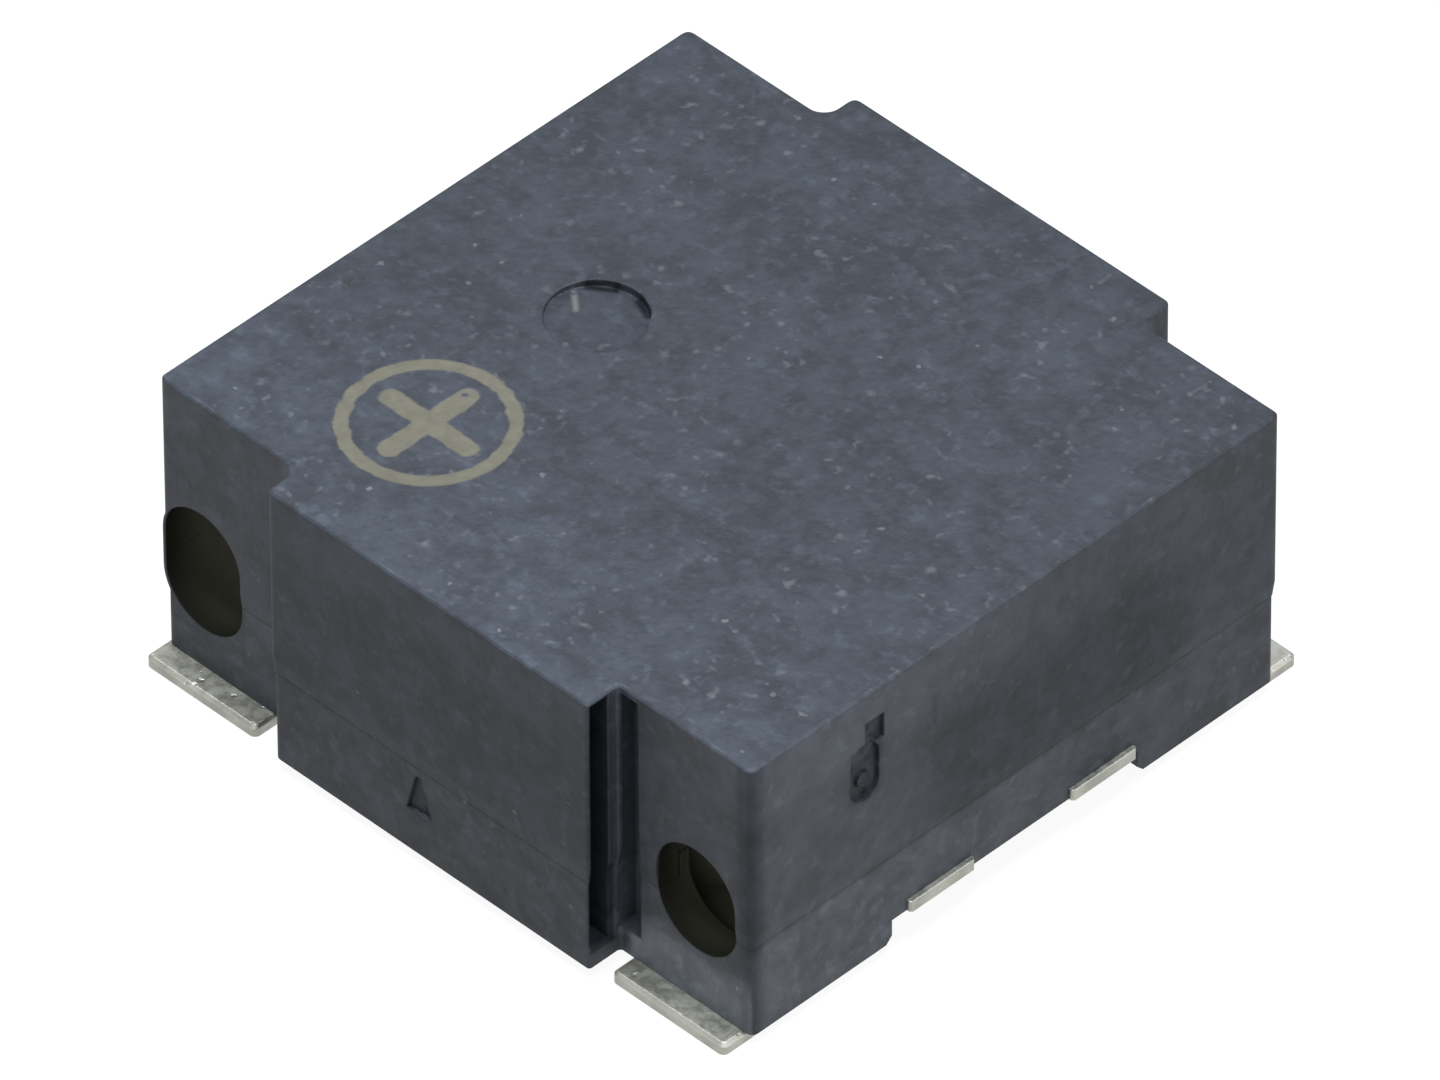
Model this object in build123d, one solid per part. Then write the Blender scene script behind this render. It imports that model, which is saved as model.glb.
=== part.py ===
from build123d import *
import math
import os

# Surface-mount magnetic buzzer, 9 x 9 x 4 mm. A round magnetic motor (yoke, core, coil, ring magnet,
# support ring, diaphragm) sits in a two-part moulded housing with a plus-shaped plan. Four stamped
# terminals are moulded into the base, and their pads project from under the four wings.
# Millimetres. Origin at the centre of the footprint on the seating plane, +Z up. The two sound ports
# open towards -Y, and +X is to the right of them.

# Housing plan
body_length = 9.0            # along X
body_width = 9.0             # along Y, over the centre blocks
wing_setback = 0.47          # the wings stand back from the blocks by this much
front_left_wing_length = 2.13    # along X, from the block's side to the body's side
front_right_wing_length = 1.99
rear_wing_length = 2.09
wing_corner_radius = 0.10
block_corner_radius = 0.10
lip_corner_radius = 0.04     # the front block's corner beside its relief slot
rear_inner_radius = 0.22     # inner corners between the rear block and its wings
left_inner_radius = 0.26     # inner corner at the left of the front block
slot_inner_radius = 0.05     # the same at its right, beside the relief slot

# Housing heights above the seating plane
overall_height = 4.0
parting_height = 1.40        # where the upper case meets the base
lead_thickness = 0.15        # the body stands on its pads by this much
foot_height = 0.31           # feet under the wings, below the side recesses
floor_thickness = 0.30       # base floor above the side recesses
top_edge_chamfer = 0.03
draw_in_height = 0.20        # the upper case's lower edge draws in to the base over this height
base_inset = 0.025           # the base is this much smaller all round

# Side recesses under the base, between the feet
foot_length = 2.15           # along Y, from the wing's face to the recess
recess_depth = 1.90          # along X, in from the body's side
foot_chamfer = 0.09

# Walls and the joint between case and base
side_wall = 0.50             # from the outside to the round well
roof_thickness = 0.45
pocket_wall = 0.25           # between the well and a corner pocket
pocket_size_x = 1.30
pocket_size_y = 1.35
pocket_roof_height = 2.95
tongue_inset = 0.36          # from the outside to the base's raised tongue
tongue_height = 0.30
tongue_clearance = 0.02
seam_width = 0.11
seam_thickness = 0.04

# Sound ports: upright oval holes in the front faces of the wings, across the parting plane
port_width = 1.18
left_port_height = 1.70
right_port_height = 1.46
left_port_centre_height = 1.55
right_port_centre_height = 1.63
port_depth = 1.00
left_port_inset = 0.62       # from the body's side to the port's centre
right_port_inset = 0.84
rim_wall = 0.04              # round the left port, whose rim bulges out of the body's side
duct_width = 0.90            # notch from the front cavity into each front pocket

# Two relief slots at the right of the front block, one in its side and one in the wing beside it
slot_front_lip = 0.04        # plastic left between the slot and the block's front face
slot_width = 0.27
slot_depth = 0.80
slot_bottom_height = 0.44
slot_top_gap = 0.05          # from the slot's end to the top face
groove_width = 0.29          # the wing's slot, from the block's side
groove_depth = 0.28
groove_undercut = 0.03       # it runs this far into the block's side
groove_bottom_height = 0.50
groove_top_gap = 0.09

# Moulding marks. The ejector pin's end was a little tilted, so its mark is deeper at one side.
ejector_mark_diameter = 1.17
ejector_mark_depth = 0.045   # at its middle
ejector_mark_tilt = 4.2
ejector_mark_bearing = 8    # from +Y towards -X, where the mark is deepest
ejector_mark_x = -1.84
ejector_mark_y = -0.02
gate_mark_width = 0.43       # oval scar on the +X side, with a stub of the gate left in it
gate_mark_height = 0.79
gate_mark_depth = 0.06
gate_mark_inset = 1.71       # from the wing's front face
gate_mark_centre_height = 2.91
gate_stub_diameter = 0.20
gate_stub_length = 0.04
gate_stub_drop = 0.12        # below the scar's middle
gate_tail_width = 0.28       # square end of the same scar
gate_tail_height = 0.34
gate_tail_shift = 0.15
gate_tail_top_height = 3.59
base_gate_width = 0.38       # tapered mark on the base's front
base_gate_tip_width = 0.08
base_gate_height = 0.54
base_gate_depth = 0.05
base_gate_x = -0.10
base_gate_centre_height = 1.00

# Terminals: one stamped lead frame, cut into four after moulding
frame_shift_x = -0.07        # the frame sits slightly off the moulding's centre
frame_shift_y = 0.08
pad_side_inset = 0.07        # from the body's side
pad_end_inset = 0.10         # from the block's face
pad_width = 1.70
pad_length = 1.47
pad_corner_radius = 0.08
pad_edge_chamfer = 0.04
neck_width = 0.55
neck_length = 0.73           # from the pad to the inner face of the riser
bend_radius = 0.06           # inside radius of the bends
stub_foot_gap = 0.145        # from the foot to the stub
stub_width = 0.99
stub_corner_chamfer = 0.03
stub_projection = 0.04       # the tie bars are cut off this far outside the body
web_width = 1.25
tab_width = 0.50
tab_side_inset = 0.88        # from the body's side to the tab's middle
tab_offset = 0.50            # from the riser to the tab
tab_top_height = 1.30

# Magnetic motor
well_clearance = 0.05
yoke_thickness = 0.35
spigot_diameter = 1.20
pole_diameter = 1.70
pole_gap = 0.20              # from the pole to the diaphragm
pole_chamfer = 0.06
washer_thickness = 0.05
washer_clearance = 0.03
coil_magnet_gap = 0.37
coil_clearance = 0.05
coil_height = 0.80
coil_chamfer = 0.08
magnet_wall = 0.80
magnet_clearance = 0.08      # from the magnet to the support ring, filled by the adhesive at its foot
magnet_height = 0.90
magnet_chamfer = 0.05
glue_height = 0.18
ring_wall = 0.35
ring_step_width = 0.20
ring_step_clearance = 0.02
ring_height = 1.43
ring_lip_height = 0.30       # from the diaphragm's seat to the ring's top
diaphragm_thickness = 0.05
armature_diameter = 2.80
armature_thickness = 0.22
armature_chamfer = 0.04

# Coil leads and their solder joints
wire_diameter = 0.06
wire_channel_width = 0.14
wire_channel_depth = 0.10
wire_rise = 0.22             # from the channel up to where the lead leaves the winding
wire_slack = 0.16            # radial length of the bend beside the winding
wall_notch_width = 0.22
wire_end_gap = 0.05          # from the lead's end to the tab, filled with solder
solder_diameter = 0.40       # on the tab
solder_tip_diameter = 0.14
solder_height = 0.17

# Derived plan sizes
half_length = body_length / 2
half_width = body_width / 2
wing_width = body_width - 2 * wing_setback
front_block_left = half_length - front_left_wing_length
front_block_right = half_length - front_right_wing_length
rear_block_half = half_length - rear_wing_length
recess_half = wing_width / 2 - foot_length
pad_centre_x = half_length - pad_side_inset - pad_width / 2
pad_outer_y = half_width - pad_end_inset
pad_inner_y = pad_outer_y - pad_length
riser_y = pad_inner_y - neck_length
stub_centre_y = recess_half - stub_foot_gap - stub_width / 2
tab_centre_x = half_length - tab_side_inset
tab_y = riser_y + tab_offset

# Derived heights and radii
underside = lead_thickness
recess_ceiling = underside + foot_height
floor_top = recess_ceiling + floor_thickness
yoke_top = floor_top + yoke_thickness
ring_top = yoke_top + ring_height
diaphragm_seat = ring_top - ring_lip_height
pole_top = diaphragm_seat - pole_gap
cavity_top = overall_height - roof_thickness
tongue_top = parting_height + tongue_height
well_radius = min(half_length, half_width) - side_wall
ring_radius = well_radius - well_clearance
ring_bore_radius = ring_radius - ring_wall
diaphragm_radius = ring_bore_radius + ring_step_width
front_cavity_radius = diaphragm_radius
magnet_radius = ring_bore_radius - magnet_clearance
magnet_bore_radius = magnet_radius - magnet_wall
coil_radius = magnet_bore_radius - coil_magnet_gap
duct_start = front_cavity_radius - pocket_wall
duct_end = well_radius + 2 * pocket_wall
wire_height = yoke_top - wire_channel_depth / 2
rear = 1
front = -1
right = 1
left = -1


def near(value, target):
    return abs(value - target) < 1e-4


def plan(inset, wing_r, block_r, lip_r, rear_r, left_r, slot_r):
    """Plus-shaped plan of the housing, drawn in by inset. Corners with a radius are rounded."""
    half_x = half_length - inset
    half_y = half_width - inset
    wing_y = wing_width / 2 - inset
    left_x = front_block_left - inset
    right_x = front_block_right - inset
    rear_x = rear_block_half - inset
    outline = Rectangle(2 * half_x, 2 * wing_y)
    outline += Pos((right_x - left_x) / 2, -half_y / 2) * Rectangle(left_x + right_x, half_y)
    outline += Pos(0, half_y / 2) * Rectangle(2 * rear_x, half_y)
    rounds = (
        (lambda v: near(abs(v.X), half_x), wing_r),
        (lambda v: near(v.Y, half_y) or (near(v.Y, -half_y) and v.X < 0), block_r),
        (lambda v: near(v.Y, -half_y) and near(v.X, right_x), lip_r),
        (lambda v: near(v.Y, wing_y) and near(abs(v.X), rear_x), rear_r),
        (lambda v: near(v.Y, -wing_y) and near(v.X, -left_x), left_r),
        (lambda v: near(v.Y, -wing_y) and near(v.X, right_x), slot_r),
    )
    for is_corner, radius in rounds:
        if radius:
            outline = fillet(outline.vertices().filter_by(is_corner), radius)
    return outline


def outer_plan(inset=0.0):
    inner_radii = (rear_inner_radius, left_inner_radius, slot_inner_radius)
    return plan(inset, wing_corner_radius, block_corner_radius, lip_corner_radius, *inner_radii)


def inner_plan(inset, corner_share=0.5):
    """Plan of an edge inside the housing, with its outer corners at a share of the outside's radii."""
    outer_radii = (wing_corner_radius, block_corner_radius, block_corner_radius)
    outer_radii = [corner_share * radius for radius in outer_radii]
    return plan(inset, *outer_radii, *(rear_inner_radius,) * 3)


def prism(sketch, bottom, top):
    return extrude(Pos(0, 0, bottom) * sketch, amount=top - bottom)


def disc(radius, bottom, top):
    return Pos(0, 0, bottom) * Cylinder(radius, top - bottom, align=(Align.CENTER, Align.CENTER, Align.MIN))


def ring(outer_radius, inner_radius, bottom, top):
    return disc(outer_radius, bottom, top) - disc(inner_radius, bottom, top)


def block(x_range, y_range, z_range):
    sizes = [abs(high - low) for low, high in (x_range, y_range, z_range)]
    centre = [(low + high) / 2 for low, high in (x_range, y_range, z_range)]
    return Pos(*centre) * Box(*sizes)


def corners():
    return [(side, end) for end in (front, rear) for side in (left, right)]


# ---------------------------------------------------------------- housing


def corner_pockets(bottom, top):
    """Pockets in the four corners outside the round well, where the terminals' tabs stand."""
    half_x = half_length - side_wall
    half_y = wing_width / 2 - side_wall
    wall = disc(well_radius + pocket_wall, bottom, top)
    pockets = []
    for side, end in corners():
        x_range = (side * (half_x - pocket_size_x), side * half_x)
        y_range = (end * (half_y - pocket_size_y), end * half_y)
        pockets.append(block(x_range, y_range, (bottom, top)) - wall)
    return pockets


def upright_oval(width, height):
    return Rot(0, 0, 90) * SlotOverall(height, width)


def on_front(x, y, z):
    """Sketch plane on a face that looks towards -Y."""
    return Plane((x, y, z), x_dir=(1, 0, 0), z_dir=(0, -1, 0))


def on_right_side(y, z):
    """Sketch plane on the +X side, with its own X axis towards +Y."""
    return Plane((half_length, y, z), x_dir=(0, 1, 0), z_dir=(1, 0, 0))


def sound_ports():
    """Oval ducts through the front faces of both wings into the front pockets."""
    left_face = on_front(left_port_inset - half_length, -wing_width / 2, left_port_centre_height)
    right_face = on_front(half_length - right_port_inset, -wing_width / 2, right_port_centre_height)
    left_oval = left_face * upright_oval(port_width, left_port_height)
    right_oval = right_face * upright_oval(port_width, right_port_height)
    return [extrude(oval, amount=-port_depth) for oval in (left_oval, right_oval)]


def left_port_rim(bottom, top):
    """Wall round the left port between two heights. It bulges out of the body's side."""
    oval = upright_oval(port_width + 2 * rim_wall, left_port_height + 2 * rim_wall)
    face = on_front(left_port_inset - half_length, base_inset - wing_width / 2, left_port_centre_height)
    rim = extrude(face * oval, amount=base_inset - port_depth)
    return rim & block((-body_length, 0), (-body_width, 0), (bottom, top))


def relief_slots():
    """Deep slot in the right side of the front block, and a second one in the wing beside it."""
    slot_front = slot_front_lip - half_width
    side_x = front_block_right
    wing_face = -wing_width / 2
    slot_heights = (slot_bottom_height, overall_height - slot_top_gap)
    groove_heights = (groove_bottom_height, overall_height - groove_top_gap)
    groove_x_range = (side_x - groove_undercut, side_x + groove_width)
    return [
        block((side_x - slot_depth, side_x), (slot_front, slot_front + slot_width), slot_heights),
        block(groove_x_range, (wing_face, wing_face + groove_depth), groove_heights),
    ]


def side_recesses():
    """Recesses under the base at both sides, which leave a foot under each wing."""
    outer = half_length + base_inset
    inner = half_length - recess_depth
    profile = Polyline(
        (-recess_half - foot_chamfer, underside),
        (-recess_half, underside + foot_chamfer),
        (-recess_half, recess_ceiling),
        (recess_half, recess_ceiling),
        (recess_half, underside + foot_chamfer),
        (recess_half + foot_chamfer, underside),
        close=True,
    )
    section = make_face(Plane.YZ * profile)
    cut = extrude(section, amount=outer - inner, dir=(1, 0, 0))
    return [Pos(inner, 0, 0) * cut, Pos(-outer, 0, 0) * cut]


def wire_directions():
    """Angle, in degrees, from the centre towards the tab of each live terminal."""
    tab_middle_y = frame_shift_y - tab_y - lead_thickness / 2
    tab_middles_x = [side * tab_centre_x + frame_shift_x for side in (left, right)]
    return [math.degrees(math.atan2(tab_middle_y, tab_x)) for tab_x in tab_middles_x]


def radial_bar(angle, start, end, width, bottom, top):
    return Rot(0, 0, angle) * block((start, end), (-width / 2, width / 2), (bottom, top))


def base_gate_mark():
    """Tapered mark on the base's front face."""
    foot, tip, top = base_gate_width / 2, base_gate_tip_width / 2, base_gate_height / 2
    outline = make_face(Polyline((-foot, -top), (foot, -top), (tip, top), (-tip, top), close=True))
    face = on_front(base_gate_x, base_inset - half_width, base_gate_centre_height)
    return extrude(face * outline, amount=-base_gate_depth)


def gate_mark():
    """Oval gate scar with a square tail on the +X side. A stub of the gate stands in it."""
    face = on_right_side(gate_mark_inset - wing_width / 2, gate_mark_centre_height)
    tail_rise = gate_tail_top_height - gate_tail_height / 2 - gate_mark_centre_height
    outline = upright_oval(gate_mark_width, gate_mark_height)
    outline += Pos(gate_tail_shift, tail_rise) * Rectangle(gate_tail_width, gate_tail_height)
    stub = extrude(face * Pos(0, -gate_stub_drop) * Circle(gate_stub_diameter / 2), amount=gate_stub_length)
    return extrude(face * outline, amount=-gate_mark_depth) - Pos(-gate_mark_depth, 0, 0) * stub


def ejector_mark():
    """Round mark on the top face, deeper at one side."""
    tilt = Rot(0, 0, ejector_mark_bearing) * Rot(-ejector_mark_tilt, 0, 0)
    cutter = disc(ejector_mark_diameter / 2, -ejector_mark_depth, ejector_mark_depth)
    return Pos(ejector_mark_x, ejector_mark_y, overall_height) * tilt * cutter


def base_housing(terminals):
    """Moulded base with the feet, the round well, the corner pockets and the tongue for the case."""
    housing = prism(outer_plan(base_inset), underside, parting_height)
    housing += left_port_rim(underside, parting_height)
    housing += prism(inner_plan(tongue_inset), parting_height, tongue_top)
    housing -= disc(well_radius, floor_top, tongue_top)
    cuts = corner_pockets(floor_top, tongue_top) + sound_ports() + relief_slots() + side_recesses()
    notch_bottom = yoke_top - wire_channel_depth
    for angle in wire_directions():
        cuts.append(radial_bar(angle, ring_radius, duct_end, wall_notch_width, notch_bottom, tongue_top))
    cuts.append(base_gate_mark())
    for cut in cuts + terminals:
        housing -= cut
    return housing


def upper_case():
    """Moulded cover. Its inner shoulder holds the support ring down."""
    case = prism(outer_plan(), parting_height, overall_height)
    case = chamfer(case.faces().sort_by(Axis.Z)[-1].edges(), top_edge_chamfer)
    rim_face = case.faces().sort_by(Axis.Z)[0]
    case = chamfer(rim_face.edges(), base_inset, draw_in_height, reference=rim_face)
    case += left_port_rim(parting_height, overall_height)
    rebate_top = tongue_top + seam_thickness
    cuts = [
        prism(inner_plan(tongue_inset - tongue_clearance), parting_height, rebate_top),
        disc(well_radius, parting_height, ring_top),
        disc(front_cavity_radius, ring_top, cavity_top),
    ]
    cuts += corner_pockets(parting_height, pocket_roof_height) + sound_ports() + relief_slots()
    for angle in wire_directions():
        cuts.append(radial_bar(angle, duct_start, duct_end, duct_width, ring_top, pocket_roof_height))
    for cut in cuts + [ejector_mark(), gate_mark()]:
        case -= cut
    return case


def seam_adhesive():
    """Bead of adhesive along the top of the base's tongue."""
    outer = tongue_inset + (side_wall - tongue_inset - seam_width) / 2
    bead = prism(inner_plan(outer, 0), tongue_top, tongue_top + seam_thickness)
    bead -= prism(inner_plan(outer + seam_width, 0), tongue_top, tongue_top + seam_thickness)
    for cut in sound_ports() + relief_slots():
        bead -= cut
    return bead


# ---------------------------------------------------------------- terminals


def bent_strip(outline, bends, x_range):
    """Sheet strip from its side profile, with each (corner, radius) in bends rounded."""
    profile = make_face(Polyline(*outline, close=True))
    for corner, radius in bends:
        bend = profile.vertices().sort_by_distance(corner + (0,))[0]
        profile = fillet(bend, radius)
    strip = extrude(Plane.YZ * profile, amount=x_range[1] - x_range[0], dir=(1, 0, 0))
    return Pos(x_range[0], 0, 0) * strip


def solder_pad():
    """Flat pad on the seating plane, rounded at its outer end and with coined upper edges."""
    pad = Pos(pad_centre_x, (pad_inner_y + pad_outer_y) / 2) * Rectangle(pad_width, pad_length)
    pad = fillet(pad.vertices().sort_by(Axis.Y)[-2:], pad_corner_radius)
    pad = prism(pad, 0, lead_thickness)
    return chamfer(pad.faces().sort_by(Axis.Z)[-1].edges(), pad_edge_chamfer)


def neck(x_range):
    """Z-shaped neck from the pad up to the web."""
    low, high = recess_ceiling, recess_ceiling + lead_thickness
    start_y = pad_inner_y + lead_thickness
    riser_end = riser_y + lead_thickness
    outline = (
        (start_y, 0),
        (riser_y, 0),
        (riser_y, low),
        (riser_y - lead_thickness, low),
        (riser_y - lead_thickness, high),
        (riser_end, high),
        (riser_end, lead_thickness),
        (start_y, lead_thickness),
    )
    outer = bend_radius + lead_thickness
    bends = (
        ((riser_y, 0), outer),
        ((riser_y, low), bend_radius),
        ((riser_end, high), outer),
        ((riser_end, lead_thickness), bend_radius),
    )
    return bent_strip(outline, bends, x_range)


def inner_tab(x_range):
    """L-shaped tab that stands up into the corner pocket."""
    low, high = recess_ceiling, recess_ceiling + lead_thickness
    tab_end = tab_y + lead_thickness
    outline = (
        (riser_y, low),
        (tab_end, low),
        (tab_end, tab_top_height),
        (tab_y, tab_top_height),
        (tab_y, high),
        (riser_y, high),
    )
    bends = (((tab_end, low), bend_radius + lead_thickness), ((tab_y, high), bend_radius))
    return bent_strip(outline, bends, x_range)


def terminal(side, end):
    """One stamped terminal: pad, neck, web with the cut tie bar, and an upright inner tab."""
    pad_left = pad_centre_x - pad_width / 2
    stub_end = half_length + stub_projection - side * frame_shift_x
    stub = Pos((pad_left + stub_end) / 2, stub_centre_y) * Rectangle(stub_end - pad_left, stub_width)
    stub = chamfer(stub.vertices().sort_by(Axis.X)[-2:], stub_corner_chamfer)
    web_length = riser_y - stub_centre_y
    web = Pos(pad_left + web_width / 2, stub_centre_y + web_length / 2) * Rectangle(web_width, web_length)
    piece = prism(stub + web, recess_ceiling, recess_ceiling + lead_thickness)
    piece += solder_pad()
    piece += neck((pad_left, pad_left + neck_width))
    piece += inner_tab((tab_centre_x - tab_width / 2, tab_centre_x + tab_width / 2))
    if end == front:
        piece = mirror(piece, Plane.XZ)
    if side == left:
        piece = mirror(piece, Plane.YZ)
    return piece


# ---------------------------------------------------------------- magnetic motor


def yoke_plate():
    """Round steel back plate with the hole for the core and a channel for each coil lead."""
    plate = ring(ring_radius, spigot_diameter / 2, floor_top, yoke_top)
    channel_bottom = yoke_top - wire_channel_depth
    for angle in wire_directions():
        plate -= radial_bar(angle, coil_radius, well_radius, wire_channel_width, channel_bottom, yoke_top)
    return plate


def pole_core():
    """Turned core: a spigot pressed into the yoke and the pole above it."""
    pole = chamfer(disc(pole_diameter / 2, yoke_top, pole_top).edges().sort_by(Axis.Z)[-1], pole_chamfer)
    return pole + disc(spigot_diameter / 2, floor_top, yoke_top)


def coil_washer():
    """Insulating washer between the winding and the yoke."""
    return ring(coil_radius, pole_diameter / 2 + washer_clearance, yoke_top, yoke_top + washer_thickness)


def coil_winding():
    bottom = yoke_top + washer_thickness
    winding = ring(coil_radius, pole_diameter / 2 + coil_clearance, bottom, bottom + coil_height)
    circles = winding.edges().filter_by(GeomType.CIRCLE)
    return chamfer([edge for edge in circles if near(edge.radius, coil_radius)], coil_chamfer)


def tab_distance(angle):
    """Distance from the centre to the inner face of the tab, along the lead."""
    return (tab_y - frame_shift_y) / abs(math.sin(math.radians(angle)))


def coil_lead(angle):
    """Fine wire from the foot of the winding, down into its channel and out to the terminal."""
    start = (coil_radius, 0, wire_height + wire_rise)
    bend = (coil_radius + wire_slack / 2, 0, wire_height + wire_rise)
    landing = (coil_radius + wire_slack, 0, wire_height)
    end = (tab_distance(angle) - wire_end_gap, 0, wire_height)
    section = Plane(start, x_dir=(0, 1, 0), z_dir=(1, 0, 0)) * Circle(wire_diameter / 2)
    lead = sweep(section, path=Polyline(start, bend, landing, end), transition=Transition.RIGHT)
    return Rot(0, 0, angle) * lead


def solder_joint(angle, lead):
    """Bead of solder on the tab's inner face, round the end of the lead."""
    upright = (Align.CENTER, Align.CENTER, Align.MIN)
    bead = Cone(solder_diameter / 2, solder_tip_diameter / 2, solder_height, align=upright)
    bead_x = tab_distance(angle) * math.cos(math.radians(angle))
    tab_face = Plane((bead_x, frame_shift_y - tab_y, wire_height), x_dir=(0, 0, 1), z_dir=(0, 1, 0))
    return tab_face * bead - lead


def ring_magnet():
    bottom = yoke_top
    magnet = ring(magnet_radius, magnet_bore_radius, bottom, bottom + magnet_height)
    return chamfer(magnet.faces().sort_by(Axis.Z)[-1].edges(), magnet_chamfer)


def magnet_adhesive():
    """Ring of adhesive round the magnet's foot."""
    return ring(ring_bore_radius, magnet_radius, yoke_top, yoke_top + glue_height)


def support_ring():
    """Stepped ring on the yoke. The diaphragm lies on its step."""
    body = ring(ring_radius, ring_bore_radius, yoke_top, ring_top)
    return body - disc(diaphragm_radius + ring_step_clearance, diaphragm_seat, ring_top)


def diaphragm():
    return disc(diaphragm_radius, diaphragm_seat, diaphragm_seat + diaphragm_thickness)


def armature_disc():
    """Small steel disc welded to the middle of the diaphragm, which adds mass."""
    bottom = diaphragm_seat + diaphragm_thickness
    plate = disc(armature_diameter / 2, bottom, bottom + armature_thickness)
    return chamfer(plate.edges().filter_by(GeomType.CIRCLE).sort_by(Axis.Z)[-1], armature_chamfer)


def build_parts():
    frame_place = Pos(frame_shift_x, frame_shift_y, 0)
    places = {(left, front): "front_left", (right, front): "front_right"}
    places |= {(left, rear): "rear_left", (right, rear): "rear_right"}
    terminals = {name: frame_place * terminal(*corner) for corner, name in places.items()}
    parts = {"terminal_" + name: piece for name, piece in terminals.items()}
    parts["base_housing"] = base_housing(list(terminals.values()))
    parts["upper_case"] = upper_case()
    parts["seam_adhesive"] = seam_adhesive()
    parts["yoke_plate"] = yoke_plate()
    parts["pole_core"] = pole_core()
    parts["coil_washer"] = coil_washer()
    parts["coil_winding"] = coil_winding()
    for name, angle in zip(("left", "right"), wire_directions()):
        lead = coil_lead(angle)
        parts["coil_lead_" + name] = lead
        parts["solder_joint_" + name] = solder_joint(angle, lead)
    parts["ring_magnet"] = ring_magnet()
    parts["magnet_adhesive"] = magnet_adhesive()
    parts["support_ring"] = support_ring()
    parts["diaphragm"] = diaphragm()
    parts["armature_disc"] = armature_disc()
    return parts


os.makedirs("parts", exist_ok=True)
for part_name, part_shape in build_parts().items():
    export_step(part_shape, "parts/" + part_name + ".step")
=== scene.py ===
import functools
import math

import bpy
from mathutils import Matrix, Vector


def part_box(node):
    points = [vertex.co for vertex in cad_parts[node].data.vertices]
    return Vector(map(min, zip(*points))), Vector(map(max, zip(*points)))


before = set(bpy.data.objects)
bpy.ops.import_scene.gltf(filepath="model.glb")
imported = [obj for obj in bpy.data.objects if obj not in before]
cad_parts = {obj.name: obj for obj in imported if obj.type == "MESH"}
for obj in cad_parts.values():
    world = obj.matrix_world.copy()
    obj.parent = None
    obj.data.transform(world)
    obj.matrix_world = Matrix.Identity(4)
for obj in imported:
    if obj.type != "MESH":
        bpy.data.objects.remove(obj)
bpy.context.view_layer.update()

MM = 0.001
case_low, case_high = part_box("upper_case")
top_height = case_high.z / MM
half_length = case_high.x / MM
parting_height = case_low.z / MM

# ---------------------------------------------------------------- node helpers


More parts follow.
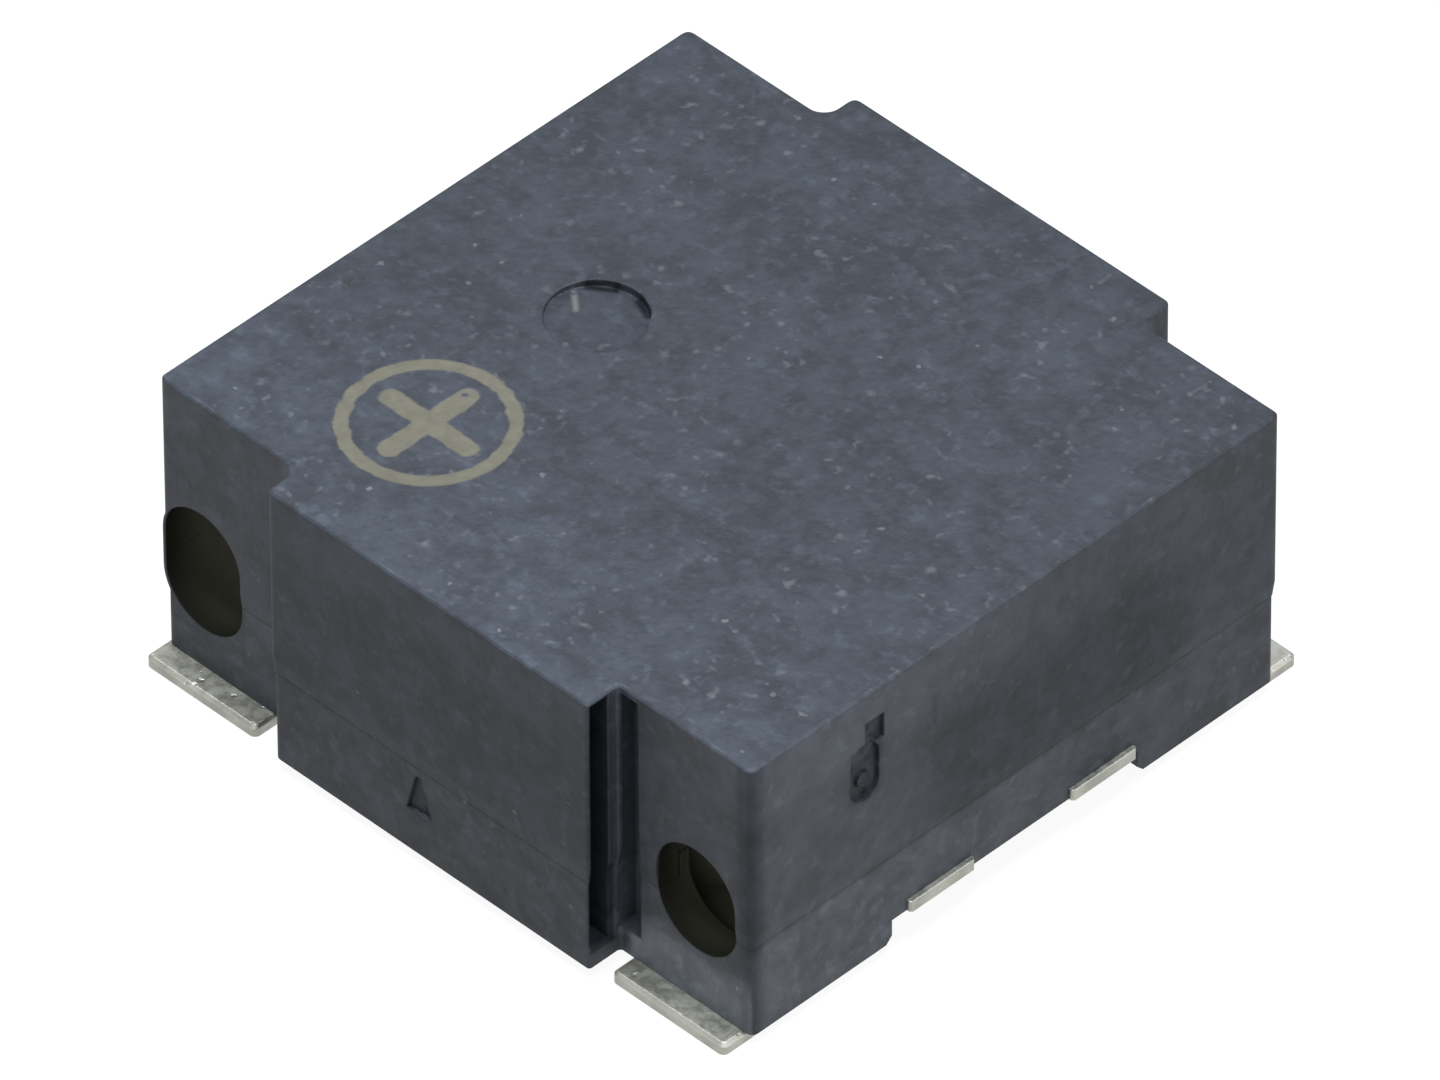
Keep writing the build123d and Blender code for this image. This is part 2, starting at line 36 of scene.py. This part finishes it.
class Graph:
    """A material under construction. Each call adds a node and gives back its output."""

    def __init__(self, name):
        self.material = bpy.data.materials.new(name)
        self.material.use_nodes = True
        self.tree = self.material.node_tree
        self.shader = self.tree.nodes["Principled BSDF"]
        place = self.add("ShaderNodeTexCoord").outputs["Object"]
        self.place = self.vector("MULTIPLY", place, (1 / MM,) * 3)
        self.x, self.y, self.z = self.split(self.place)

    def add(self, kind, **settings):
        node = self.tree.nodes.new(kind)
        for name, value in settings.items():
            setattr(node, name, value)
        return node

    def feed(self, socket, value):
        if isinstance(value, bpy.types.NodeSocket):
            self.tree.links.new(value, socket)
        else:
            socket.default_value = value

    def set(self, name, value):
        self.feed(self.shader.inputs[name], value)

    def math(self, operation, *values):
        node = self.add("ShaderNodeMath", operation=operation)
        for socket, value in zip(node.inputs, values):
            self.feed(socket, value)
        return node.outputs[0]

    def vector(self, operation, *values):
        node = self.add("ShaderNodeVectorMath", operation=operation)
        for socket, value in zip(node.inputs, values):
            self.feed(socket, value)
        number = operation in ("LENGTH", "DOT_PRODUCT")
        return node.outputs["Value" if number else "Vector"]

    def times(self, *values):
        return functools.reduce(lambda first, second: self.math("MULTIPLY", first, second), values)

    def most(self, *values):
        return functools.reduce(lambda first, second: self.math("MAXIMUM", first, second), values)

    def minus(self, first, second):
        return self.math("SUBTRACT", first, second)

    def rest(self, share):
        """What a share leaves of 1."""
        return self.minus(1.0, share)

    def normal(self):
        """The flat normal's x, y and z."""
        return self.split(self.add("ShaderNodeNewGeometry").outputs["Normal"])

    def scale(self, vector, factor):
        node = self.add("ShaderNodeVectorMath", operation="SCALE")
        self.feed(node.inputs["Vector"], vector)
        self.feed(node.inputs["Scale"], factor)
        return node.outputs["Vector"]

    def split(self, vector):
        node = self.add("ShaderNodeSeparateXYZ")
        self.feed(node.inputs[0], vector)
        return node.outputs

    def join(self, x, y, z):
        node = self.add("ShaderNodeCombineXYZ")
        for socket, value in zip(node.inputs, (x, y, z)):
            self.feed(socket, value)
        return node.outputs[0]

    def fade(self, value, start, end, low=0.0, high=1.0):
        """Smooth step from low at start to high at end."""
        node = self.add("ShaderNodeMapRange", interpolation_type="SMOOTHSTEP")
        for socket, number in zip(node.inputs, (value, start, end, low, high)):
            self.feed(socket, number)
        return node.outputs[0]

    def mix(self, share, first, second):
        node = self.add("ShaderNodeMix", data_type="RGBA")
        self.feed(node.inputs[0], share)
        for socket, colour in ((node.inputs[6], first), (node.inputs[7], second)):
            self.feed(socket, colour if isinstance(colour, bpy.types.NodeSocket) else (*colour, 1.0))
        return node.outputs[2]

    def noise(self, per_mm, detail=2.0, roughness=0.5, stretch=(1.0, 1.0, 1.0)):
        """Noise, from 0 to 1, with that many lumps to a millimetre."""
        node = self.add("ShaderNodeTexNoise")
        self.feed(node.inputs["Vector"], self.vector("MULTIPLY", self.place, stretch))
        self.feed(node.inputs["Scale"], per_mm)
        self.feed(node.inputs["Detail"], detail)
        self.feed(node.inputs["Roughness"], roughness)
        return node.outputs[0]

    def specks(self, per_mm, radius, share):
        """Small round specks in a share of the cells of a grid."""
        node = self.add("ShaderNodeTexVoronoi")
        self.feed(node.inputs["Vector"], self.place)
        self.feed(node.inputs["Scale"], per_mm)
        chosen = self.math("LESS_THAN", self.split(node.outputs["Color"])[0], share)
        uneven = self.fade(self.noise(14.0), 0.3, 0.7, 0.5, 1.3)
        dot = self.fade(self.times(node.outputs["Distance"], uneven), radius, radius / 2)
        return self.times(chosen, dot)

    def edges(self, radius_mm):
        """Rounded normals along the edges, and how far they turn from the flat ones, from 0 to 1."""
        bevel = self.add("ShaderNodeBevel", samples=4)
        self.feed(bevel.inputs["Radius"], radius_mm * MM)
        flat = self.add("ShaderNodeNewGeometry").outputs["Normal"]
        turned = self.vector("DOT_PRODUCT", bevel.outputs[0], flat)
        return bevel.outputs[0], self.fade(turned, 0.995, 0.88)

    def bumps(self, normal, *layers):
        """Stacks (height, depth in mm) layers of relief on the normals."""
        for height, depth in layers:
            node = self.add("ShaderNodeBump")
            self.feed(node.inputs["Strength"], 1.0)
            self.feed(node.inputs["Distance"], depth * MM)
            self.feed(node.inputs["Height"], height)
            if normal is not None:
                self.feed(node.inputs["Normal"], normal)
            normal = node.outputs[0]
        self.set("Normal", normal)


def give(graph, *nodes):
    """Puts the material on CAD nodes."""
    for name in nodes:
        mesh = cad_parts[name].data
        mesh.materials.clear()
        mesh.materials.append(graph.material)


# ---------------------------------------------------------------- housing plastics

# The polarity sign on the top face.
mark_centre = (-1.90, -2.51)
mark_radius = 0.94
mark_stroke = 0.17
mark_blur = 0.02
mark_wobble = 0.08
arm_half = 0.59
arm_radius = 0.132

# How matt the top and the sides are, and how strongly they mirror.
top_roughness = 0.50
side_roughness = 0.60
top_shine = 0.40
side_shine = 0.29

# Places on the housing where its look changes.
front_face = (-4.60, -4.40)     # reaches through the front block's face, along Y
right_face = (4.40, 4.60)       # and through the right side's, along X
right_side = (4.30, 4.42)       # from inside the right side's face to the face, along X
block_side = 2.51
wall_y = -4.03
slot_top = 3.94
skin = 0.01

# Colours of wear, dust, the painted shade on the ports' walls and the sign's ink.
fleck_colour = (0.080, 0.085, 0.098)
dust_colour = (0.10, 0.105, 0.11)
scuff_colour = (0.085, 0.085, 0.085)
port_shade_colour = (0.024, 0.0235, 0.018)
ink_dark = (0.058, 0.055, 0.041)
ink_light = (0.105, 0.101, 0.080)


def polarity_mark(g):
    """Mask of the laser-marked plus in its circle, on the top face."""
    wobble = g.times(g.minus(g.noise(6.0, 3.0), 0.5), mark_wobble)
    x = g.math("ADD", g.minus(g.x, mark_centre[0]), wobble)
    y = g.math("ADD", g.minus(g.y, mark_centre[1]), wobble)
    distance = g.vector("LENGTH", g.join(x, y, 0.0))
    nearest = g.minus(g.math("ABSOLUTE", g.minus(distance, mark_radius)), mark_stroke / 2)
    for along, across in ((x, y), (y, x)):
        beyond = g.most(g.minus(g.math("ABSOLUTE", along), arm_half), 0.0)
        arm = g.minus(g.vector("LENGTH", g.join(beyond, across, 0.0)), arm_radius)
        nearest = g.math("MINIMUM", nearest, arm)
    inside = g.fade(nearest, mark_blur, -mark_blur)
    on_top = g.math("GREATER_THAN", g.z, top_height - skin)
    return g.times(inside, on_top)


def within(g, x_range, y_range, z_range, blur=0.01):
    """Soft-edged mask of a box."""
    inside = 1.0
    for value, (low, high) in ((g.x, x_range), (g.y, y_range), (g.z, z_range)):
        middle, half = (low + high) / 2, (high - low) / 2
        reach = g.math("ABSOLUTE", g.minus(value, middle))
        inside = g.times(inside, g.fade(reach, half + blur, half - blur))
    return inside


def stroke(g, start, end, radius, blur=0.015):
    """Mask of a short straight stroke on the top face."""
    along = Vector(end) - Vector(start)
    length = along.length
    course = (*(along / length), 0.0)
    offset = g.vector("SUBTRACT", g.join(g.x, g.y, 0.0), (*start, 0.0))
    travel = g.math("MINIMUM", g.most(g.vector("DOT_PRODUCT", offset, course), 0.0), length)
    foot = g.scale(course, travel)
    distance = g.vector("LENGTH", g.vector("SUBTRACT", offset, foot))
    return g.times(g.fade(distance, radius + blur, radius - blur), g.fade(g.z, 3.8, 3.85))


def port_walls(g):
    """Mask of the sound ports' walls and the pocket behind them, without the faces outside."""
    left_port = within(g, (-4.48, -3.25), (wall_y + 0.03, -2.2), (0.60, 2.50))
    outside = g.times(g.fade(g.normal()[0], -0.6, -0.8), g.fade(g.x, -4.3, -4.4))
    left_port = g.times(left_port, g.rest(outside))
    right_port = within(g, (3.00, 4.30), (wall_y + 0.03, -2.2), (0.80, 2.45))
    pocket = within(g, (1.0, 4.30), (-3.60, -1.0), (0.70, 2.60))
    return g.most(left_port, right_port, pocket)


def painted_slot_shading(g):
    """Painted shade: falls from 1 in the open to about half inside the front block's slot, less on the rib
    beside it.
    """
    slot = within(g, (1.0, block_side - skin), (-4.455, -4.10), (0.35, 3.965))
    rib = within(g, (block_side - 0.02, block_side + 0.02), (-4.18, wall_y), (0.45, slot_top), 0.03)
    return g.rest(g.most(g.times(slot, 0.52), g.times(rib, 0.28)))


def dark_marks_and_painted_shade(g):
    """Dark marks in and round the gate scars, with painted shade beside the ejector mark and along one
    corner.
    """
    gate = within(g, right_face, (-2.54, -2.06), (2.54, 3.28), 0.08)
    gate_end = within(g, right_face, (-2.30, -2.04), (3.28, 3.56), 0.06)
    gate_foot = within(g, right_face, (-2.36, -2.20), (2.50, 2.64), 0.08)
    witness = within(g, right_face, (-1.30, -1.22), (2.92, 3.36), 0.06)
    base_gate = within(g, (-0.22, 0.06), front_face, (0.78, 1.10), 0.08)
    base_tip = within(g, (-0.16, -0.06), front_face, (1.10, 1.26), 0.06)
    base_foot = within(g, (-0.06, 0.08), front_face, (0.76, 0.88), 0.06)
    spot = within(g, (0.40, 0.52), front_face, (1.46, 1.50), 0.05)
    ragged = g.fade(g.noise(5.0, 2.0), 0.35, 0.60, 0.85, 0.50)
    gates = g.most(gate, gate_end, g.times(witness, 0.5))
    bases = g.most(base_gate, base_tip, spot)
    gates = g.times(g.most(gates, g.times(bases, 0.6)), ragged)
    feet = g.most(gate_foot, g.times(base_foot, 0.8))
    # Painted shade: two dark arcs beside the ejector mark.
    first_arc = stroke(g, (-2.30, 0.30), (-2.06, 0.48), 0.05, 0.04)
    second_arc = stroke(g, (-1.74, 0.52), (-1.50, 0.42), 0.05, 0.04)
    arcs = g.most(first_arc, second_arc)
    # Painted shade down the rounded front-right corner, below the top.
    from_corner = g.join(g.minus(g.x, half_length), g.minus(g.y, wall_y), 0.0)
    corner = g.times(g.fade(g.vector("LENGTH", from_corner), 0.30, 0.10), g.fade(g.z, 3.99, 3.95))
    return g.most(gates, feet, g.times(arcs, 0.9), g.times(corner, 0.60))


# Painted light and shade on the sides.
def painted_side_light(g):
    """How light the sides are, region by region, as the photo shows them."""
    right = g.fade(g.x, *right_side)
    middle = g.times(g.fade(g.z, 1.2, 1.6), g.fade(g.z, 3.3, 2.6), right)
    middle = g.times(middle, g.times(g.fade(g.y, -2.2, -0.6), g.fade(g.y, 3.2, 1.8)))
    low = g.times(g.fade(g.z, parting_height, parting_height - 0.1), right, g.fade(g.y, 1.5, 0.0))
    base_foot = g.times(g.fade(g.z, 1.2, 0.45), g.fade(g.x, 2.55, 2.75), g.fade(g.y, -3.95, -4.0))
    near_side = g.fade(g.z, parting_height - 0.1, parting_height + 0.1)
    near_side = g.times(near_side, g.fade(g.y, -0.8, -2.4), right)
    near_top = g.times(g.fade(g.z, 2.8, 3.5), g.fade(g.y, 1.0, -1.0), right)
    groove = within(g, (2.44, 2.80), (wall_y - 0.10, -3.70), (0.40, slot_top), 0.03)
    front_block = g.fade(g.y, -4.30, -4.40, 1.0, 0.83)
    towards_front = g.fade(g.y, 1.0, -4.5, 1.0, 1.15)
    painted_shading = g.times(front_block, towards_front)
    regions = ((middle, 0.78), (low, 1.25), (base_foot, 2.2), (near_side, 1.10), (near_top, 1.15),
               (groove, 1.35))
    for mask, factor in regions:
        painted_shading = g.times(painted_shading, g.fade(mask, 0.0, 1.0, 1.0, factor))
    return g.times(painted_shading, g.fade(g.z, 2.8, 3.7, 1.0, 1.10))


def moulded(name, dark, light, painted_side_shade):
    """Matt moulded plastic: mottled, with pale rubbed spots, dust specks, worn edges and dark marks;
    painted light and shade on the sides and top; painted shade in the slot and the holes.
    """
    g = Graph(name)
    rounded, edge = g.edges(0.04)
    up = g.fade(g.normal()[2], 0.5, 0.9)
    mottle = g.noise(2.8, 4.0, 0.60)
    shade = g.math("ADD", g.times(g.noise(0.9, 3.0, 0.55), 0.35), g.times(mottle, 0.45))
    shade = g.math("ADD", shade, g.times(g.noise(7.0, 2.0, 0.5), 0.20))
    colour = g.mix(g.fade(shade, 0.38, 0.62), dark, light)
    pale = g.fade(g.noise(4.0, 3.0, 0.6), 0.54, 0.70)
    colour = g.mix(g.times(pale, 0.35), colour, [1.9 * c for c in light])
    flecks = g.times(g.fade(g.noise(6.5, 1.5, 0.5), 0.58, 0.76), g.fade(g.noise(1.3, 2.0), 0.42, 0.62))
    colour = g.mix(g.times(flecks, g.fade(up, 0.0, 1.0, 0.22, 0.50)), colour, fleck_colour)
    worn = g.times(edge, g.fade(g.noise(2.6, 4.0, 0.7), 0.50, 0.66))
    colour = g.mix(g.times(worn, up), colour, [3.0 * c for c in light])
    dust = g.most(g.specks(1.9, 0.08, 0.25), g.specks(5.0, 0.16, 0.06))
    colour = g.mix(g.times(dust, g.fade(g.noise(9.0), 0.3, 0.6, 0.2, 0.6)), colour, dust_colour)
    # Painted shade by facing: the sides darker and a little warmer than the top.
    colour = g.vector("MULTIPLY", colour, g.mix(up, painted_side_shade, (1.0, 1.0, 1.0)))

    # Painted light and shade on the sides, region by region.
    painted_shading = g.times(painted_side_light(g), g.rest(up))
    # Painted light on the top face: lighter towards the front.
    painted_top_light = g.fade(g.y, -0.5, -4.3, 0.96, 1.26)
    colour = g.scale(colour, g.math("ADD", painted_shading, g.times(painted_top_light, up)))
    walls = port_walls(g)
    # Dark marks and painted shade, as one factor that darkens both the colour and the sheen.
    clear_of_marks_and_shade = g.times(g.rest(g.times(dark_marks_and_painted_shade(g), 0.75)), painted_slot_shading(g))
    # The sheen is cut on the ports' walls and scaled by the painted light and shade on the sides.
    shine = g.times(g.fade(up, 0.0, 1.0, side_shine, top_shine), g.rest(walls))
    shine = g.times(shine, g.fade(edge, 0.0, 1.0, 1.0, 0.6), g.math("ADD", painted_shading, up))
    g.set("Specular IOR Level", g.times(clear_of_marks_and_shade, shine))
    g.set("Roughness", g.fade(up, 0.0, 1.0, side_roughness, top_roughness))
    g.bumps(rounded, (mottle, 0.012), (g.noise(5.0, 3.0, 0.5), 0.008))
    lit = g.scale(colour, g.fade(clear_of_marks_and_shade, 0.0, 1.0, 0.1, 1.0))
    # Painted shade on the ports' walls and the pocket behind them, darkest at the mouths and lighter
    # further in.
    deeper = g.fade(g.y, wall_y, -2.6, 0.42, 8.0)
    return g, g.mix(walls, lit, g.scale(port_shade_colour, deeper))


case, case_colour = moulded("case_plastic", (0.0120, 0.0148, 0.0205), (0.0225, 0.0280, 0.0385),
                            (0.80, 0.79, 0.77))
chip = stroke(case, (-1.95, -1.93), (-1.93, -1.91), 0.025)
inked = case.times(polarity_mark(case), case.rest(chip))
case_colour = case.mix(inked, case_colour, case.mix(case.noise(6.0, 4.0), ink_dark, ink_light))
scuff = stroke(case, (-2.36, 0.14), (-2.10, -0.08), 0.03, 0.03)
scuff = case.times(scuff, case.fade(case.noise(9.0), 0.35, 0.55, 0.2, 0.9))
case.set("Base Color", case.mix(scuff, case_colour, scuff_colour))
give(case, "upper_case")

base, base_colour = moulded("base_plastic", (0.0105, 0.0130, 0.0170), (0.0235, 0.0280, 0.0350),
                            (1.0, 1.0, 1.0))
base.set("Base Color", base_colour)
give(base, "base_housing")

# ---------------------------------------------------------------- metals

streak_gloss = 0.08     # how far the streaks turn a metal's roughness up and down


def metal(name, dark, light, roughness, streaks):
    """Bare or plated metal with fine streaks and small pits."""
    g = Graph(name)
    rounded, edge = g.edges(0.02)
    cloud = g.noise(2.5, 4.0, 0.6)
    lines = g.noise(8.0, 3.0, 0.6, streaks)
    colour = g.mix(g.fade(cloud, 0.35, 0.65), dark, light)
    colour = g.mix(g.times(edge, 0.6), colour, [min(1.0, 1.6 * c) for c in light])
    g.set("Base Color", colour)
    g.set("Metallic", 1.0)
    g.set("Roughness", g.fade(lines, 0.3, 0.7, roughness - streak_gloss, roughness + streak_gloss))
    g.bumps(rounded, (lines, 0.004), (g.specks(9.0, 0.3, 0.3), -0.006))
    return g


tin = metal("tinned_terminal", (0.31, 0.31, 0.28), (0.40, 0.40, 0.36), 0.50, (1.0, 1.0, 1.0))
give(tin, "terminal_front_left", "terminal_front_right", "terminal_rear_left", "terminal_rear_right")
iron = metal("plated_iron", (0.50, 0.50, 0.48), (0.62, 0.62, 0.60), 0.30, (1.0, 1.0, 0.2))
give(iron, "yoke_plate", "pole_core", "armature_disc")
foil = metal("spring_steel", (0.48, 0.48, 0.47), (0.58, 0.58, 0.57), 0.25, (0.15, 1.0, 1.0))
give(foil, "diaphragm")
solder = metal("solder", (0.60, 0.60, 0.58), (0.75, 0.75, 0.73), 0.22, (1.0, 1.0, 1.0))
give(solder, "solder_joint_left", "solder_joint_right")

# ---------------------------------------------------------------- pieces inside the housing

turns_per_mm = 16.0
turn_relief_mm = 0.02
copper = Graph("enamelled_copper")
copper_wave = copper.math("SINE", copper.times(copper.z, turns_per_mm * math.pi))
copper_turns = copper.math("ABSOLUTE", copper_wave)
copper_shade = copper.times(copper_turns, copper.fade(copper.noise(4.0), 0.2, 0.6, 0.6, 1.0))
copper.set("Base Color", copper.mix(copper_shade, (0.22, 0.06, 0.02), (0.62, 0.24, 0.09)))
copper.set("Metallic", 0.8)
copper.set("Roughness", 0.32)
copper.bumps(None, (copper_turns, turn_relief_mm))
give(copper, "coil_winding", "coil_lead_left", "coil_lead_right")


def filler(name, dark, light, roughness, per_mm, relief_mm):
    """Plain inner material: two shades clouded together, with a fine relief."""
    g = Graph(name)
    rounded, _ = g.edges(0.02)
    cloud = g.noise(per_mm, 4.0, 0.6)
    g.set("Base Color", g.mix(g.fade(cloud, 0.3, 0.7), dark, light))
    g.set("Roughness", roughness)
    g.bumps(rounded, (g.noise(3 * per_mm, 3.0, 0.6), relief_mm))
    return g


give(filler("magnet", (0.07, 0.07, 0.075), (0.13, 0.13, 0.14), 0.55, 6.0, 0.01), "ring_magnet")
give(filler("ring_plastic", (0.035, 0.035, 0.037), (0.06, 0.06, 0.062), 0.5, 3.0, 0.008), "support_ring")
give(filler("adhesive", (0.26, 0.20, 0.11), (0.36, 0.30, 0.18), 0.25, 1.5, 0.01), "magnet_adhesive")
give(filler("seam_adhesive", (0.012, 0.011, 0.010), (0.022, 0.020, 0.018), 0.6, 1.5, 0.01), "seam_adhesive")
give(filler("insulating_film", (0.48, 0.28, 0.07), (0.58, 0.38, 0.12), 0.35, 4.0, 0.002), "coil_washer")

# ---------------------------------------------------------------- floor, lights and camera

studio_light = 1.0
wall_light = 0.35
wall_azimuth = 225
wall_elevation = 30
wall_edge = 0.8         # share of the way to the wall's middle where it is fully dark
table_glow = 0.92
floor_side = 3.0
floor_drop = 0.002 * MM
bpy.ops.mesh.primitive_plane_add(size=floor_side, location=(0, 0, -floor_drop))
floor = bpy.context.object
floor.name = "floor"
table = Graph("light_table")
table_shade = table.mix(table.noise(0.02), (0.060, 0.060, 0.060), (0.066, 0.066, 0.066))
table.set("Base Color", table_shade)
table.set("Roughness", 1.0)
table.set("Specular IOR Level", 0.0)
table.set("Emission Color", (1.0, 1.0, 1.0, 1.0))
table.set("Emission Strength", table_glow)
floor.data.materials.append(table.material)


def direction(azimuth, elevation):
    """Unit vector from the object outwards. Azimuth 0 is towards -Y and 90 towards +X."""
    a, e = math.radians(azimuth), math.radians(elevation)
    return Vector((math.sin(a) * math.cos(e), -math.cos(a) * math.cos(e), math.sin(e)))


# The studio is pale, with a darker wall behind the object.
studio = bpy.data.worlds.new("studio")
studio.use_nodes = True
wall_nodes = studio.node_tree.nodes
wall_links = studio.node_tree.links
ray = wall_nodes.new("ShaderNodeTexCoord")
towards_wall = wall_nodes.new("ShaderNodeVectorMath")
towards_wall.operation = "DOT_PRODUCT"
towards_wall.inputs[1].default_value = direction(wall_azimuth, wall_elevation)
wall_fade = wall_nodes.new("ShaderNodeMapRange")
wall_fade.interpolation_type = "SMOOTHSTEP"
for socket, number in zip(wall_fade.inputs[1:5], (0.0, wall_edge, studio_light, wall_light)):
    socket.default_value = number
wall_links.new(ray.outputs["Generated"], towards_wall.inputs[0])
wall_links.new(towards_wall.outputs["Value"], wall_fade.inputs[0])
wall_links.new(wall_fade.outputs[0], wall_nodes["Background"].inputs["Strength"])
wall_nodes["Background"].inputs["Color"].default_value = (1.0, 1.0, 1.0, 1.0)
bpy.context.scene.world = studio


def softbox(name, azimuth, elevation, distance, side, radiance, colour):
    """Square area light that faces the object and doesn't show itself."""
    data = bpy.data.lights.new(name, "AREA")
    data.size = side
    data.energy = radiance * math.pi * side * side
    data.color = colour
    light = bpy.data.objects.new(name, data)
    bpy.context.scene.collection.objects.link(light)
    towards = direction(azimuth, elevation)
    light.location = towards * distance
    light.rotation_euler = towards.to_track_quat("Z", "Y").to_euler()
    light.visible_camera = False


softbox("softbox_top", 0, 89, 1.2, 0.7, 20.0, (0.94, 0.97, 1.0))
softbox("softbox_right", 100, 15, 1.2, 0.6, 6.0, (1.0, 1.0, 1.0))

# The camera was fitted to the corners of the object in the photo.
view_azimuth = 45.164
view_elevation = 41.950
view_distance = 0.28914
view_lens = 669.88
view_roll = math.radians(-0.304)
view_height = 2.075 * MM
view_offset_right = 0.0015 * MM
view_offset_up = -0.1277 * MM
near_clip = 0.01

towards_camera = direction(view_azimuth, view_elevation)
right = Vector((math.cos(math.radians(view_azimuth)), math.sin(math.radians(view_azimuth)), 0))
up = towards_camera.cross(right)
camera_data = bpy.data.cameras.new("camera")
camera_data.lens = view_lens
camera_data.clip_start = near_clip
camera = bpy.data.objects.new("camera", camera_data)
bpy.context.scene.collection.objects.link(camera)
target = Vector((0, 0, view_height)) + right * view_offset_right + up * view_offset_up
turn = Matrix((right, up, towards_camera)).transposed() @ Matrix.Rotation(view_roll, 3, "Z")
camera.matrix_world = Matrix.Translation(target + towards_camera * view_distance) @ turn.to_4x4()
bpy.context.scene.camera = camera
bpy.context.scene.view_settings.view_transform = "Standard"
